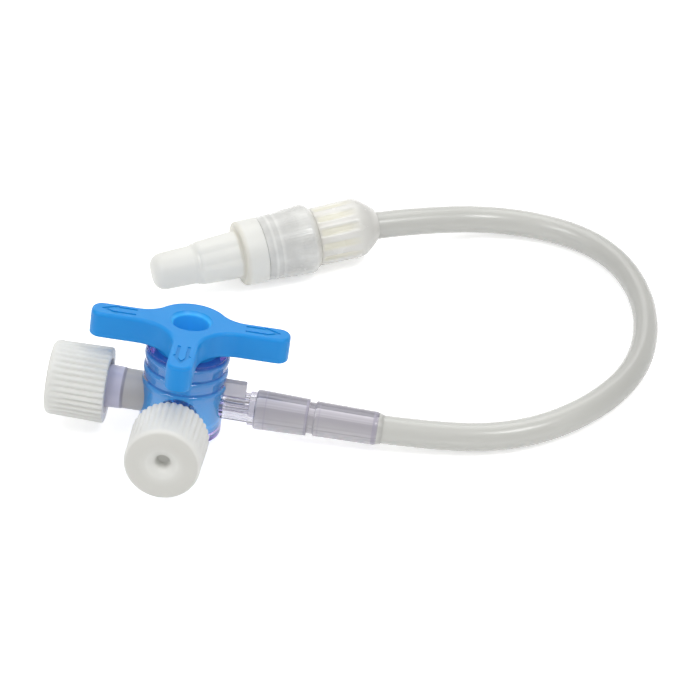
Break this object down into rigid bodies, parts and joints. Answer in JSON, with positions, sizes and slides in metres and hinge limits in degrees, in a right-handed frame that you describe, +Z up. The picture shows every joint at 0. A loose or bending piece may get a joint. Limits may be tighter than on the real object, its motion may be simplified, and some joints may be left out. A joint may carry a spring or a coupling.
{
  "type": "three way stopcock",
  "caption": "Clear stopcock with a blue three armed tap, two ribbed luer caps and a soft extension tube that ends in a capped, rotating luer lock connector.",
  "frame": {"origin": "on the table, under the middle of the stopcock itself (its body, tap and two port caps), where the whole part lies at rest", "axes": "+Z up from the table; +X towards the tube port and the tube's loop; -Y towards the front capped port, so the free connector lies behind, at +Y"},
  "size_m": [0.0926, 0.0681, 0.022],
  "materials": {
    "clear_body": "clear moulded polycarbonate with a lavender tint",
    "blue_tap": "satin blue polyethylene",
    "white_cap": "satin white polyethylene",
    "soft_tube": "soft milky translucent tubing",
    "milky_hub": "cloudy translucent moulded plastic",
    "milky_collar": "cloudy translucent moulded plastic"
  },
  "bodies": {
    "stopcock": {"stopcock_body": "clear_body", "tube_sleeve": "clear_body", "extension_tube": "soft_tube", "luer_hub": "milky_hub"},
    "tap": {"tap_handle": "blue_tap"},
    "side_cap": {"side_port_cap": "white_cap"},
    "front_cap": {"front_port_cap": "white_cap"},
    "collar": {"luer_lock_collar": "milky_collar"},
    "end_cap": {"luer_end_cap": "white_cap"}
  },
  "joints": [
    {"name": "tap_turn", "type": "hinge", "parent": "stopcock", "child": "tap", "pos_m": [0.00082, 0.00628, 0.00615], "axis": [0.1241, 0.2311, 0.965], "continuous": true},
    {"name": "side_cap_pull", "type": "slide", "parent": "stopcock", "child": "side_cap", "axis": [-0.9869, 0.1299, 0.0958], "range_m": [0, 0.014]},
    {"name": "front_cap_pull", "type": "slide", "parent": "stopcock", "child": "front_cap", "axis": [-0.1032, -0.9642, 0.2442], "range_m": [0, 0.014]},
    {"name": "collar_spin", "type": "hinge", "parent": "stopcock", "child": "collar", "pos_m": [0.02932, 0.04698, 0.00545], "axis": [-0.9432, -0.3322, 0], "continuous": true},
    {"name": "end_cap_pull", "type": "slide", "parent": "stopcock", "child": "end_cap", "axis": [-0.9432, -0.3322, 0], "range_m": [0, 0.014]}
  ]
}
